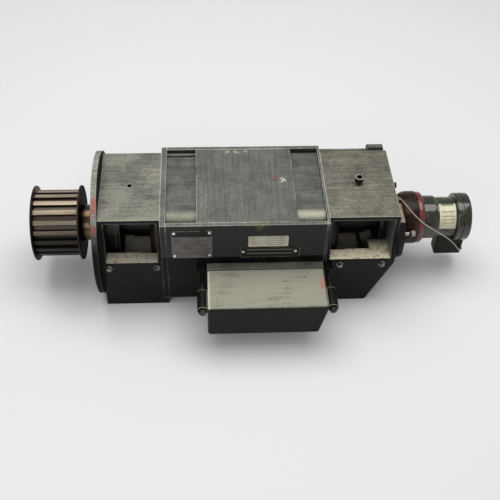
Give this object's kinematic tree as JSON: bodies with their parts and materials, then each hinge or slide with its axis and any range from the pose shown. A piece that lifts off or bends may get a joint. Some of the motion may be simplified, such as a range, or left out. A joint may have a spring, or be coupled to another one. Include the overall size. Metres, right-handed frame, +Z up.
{
  "type": "three-phase electric motor",
  "caption": "Square-framed three-phase motor on feet with a round mounting flange, toothed belt pulley, open window housings, side terminal box and a shaft encoder.",
  "frame": {"origin": "centre of the four foot holes, on the plane that the feet stand on", "axes": "+X along the shaft from the pulley to the encoder, +Y away from the terminal box, +Z up"},
  "size_m": [0.9215, 0.3881, 0.282],
  "materials": {
    "black_paint": "worn black paint, dusty on upward faces",
    "box_paint": "worn black paint on the cast terminal box",
    "lamination": "painted lamination stack",
    "copper": "varnished copper wire",
    "cage_aluminium": "die-cast",
    "ground_steel": "turned and ground",
    "pulley_steel": "browned steel with worn lands",
    "rim_steel": "blackened sheet steel",
    "zinc": "zinc-plated fasteners",
    "rubber": "seals and gasket",
    "board": "moulded insulating board",
    "brass": "terminal studs",
    "lead_jacket": "cable jacket",
    "plug_plastic": "blanking plugs",
    "encoder_black": "glossy black enamel",
    "encoder_red": "dark red enamel",
    "plate_metal": "bare plate, dulled",
    "label_paper": "bare paper label"
  },
  "bodies": {
    "motor": {"de_end_frame": "black_paint", "nde_end_frame": "black_paint", "front_side_plate": "black_paint", "rear_side_plate": "black_paint", "top_plate": "black_paint", "bottom_plate": "black_paint", "de_housing": "black_paint", "de_flange": "black_paint", "nde_housing": "black_paint", "nde_end_plate": "black_paint", "rear_lug": "black_paint", "de_bearing_cap": "black_paint", "nde_bearing_cap": "black_paint", "terminal_base": "box_paint", "terminal_cover": "box_paint", "stator_core": "lamination", "stator_winding": "copper", "de_bearing_outer": "ground_steel", "nde_bearing_outer": "ground_steel", "tie_rods": "zinc", "de_flange_bolts": "zinc", "nde_plate_bolts": "zinc", "terminal_cover_bolts": "zinc", "lifting_screw": "zinc", "encoder_bolts": "zinc", "terminal_gasket": "rubber", "de_shaft_seal": "rubber", "terminal_board": "board", "terminal_studs": "brass", "winding_leads": "lead_jacket", "earth_lead": "lead_jacket", "entry_plugs": "plug_plastic", "encoder_bell": "encoder_black", "encoder_body": "encoder_black", "encoder_cap": "encoder_black", "encoder_connector": "encoder_black", "encoder_ring": "encoder_red"},
    "rotor": {"shaft": "ground_steel", "shaft_key": "ground_steel", "de_bearing_inner": "ground_steel", "nde_bearing_inner": "ground_steel", "encoder_shaft": "ground_steel", "rotor_core": "lamination", "rotor_cage": "cage_aluminium", "encoder_coupling": "cage_aluminium", "pulley": "pulley_steel", "pulley_washer": "pulley_steel", "pulley_rim_outer": "rim_steel", "pulley_rim_inner": "rim_steel", "pulley_bolt": "zinc"},
    "de_rollers": {"de_roller_set": "ground_steel"}
  },
  "joints": [
    {"name": "rotor_spin", "type": "hinge", "parent": "motor", "child": "rotor", "pos_m": [0, 0, 0.132], "axis": [1, 0, 0], "continuous": true},
    {"name": "de_roller_spin", "type": "hinge", "parent": "motor", "child": "de_rollers", "pos_m": [-0.2785, 0, 0.132], "axis": [1, 0, 0], "continuous": true}
  ],
  "couplings": [
    {"joint": "de_roller_spin", "follows": "rotor_spin", "ratio": 0.40084}
  ]
}
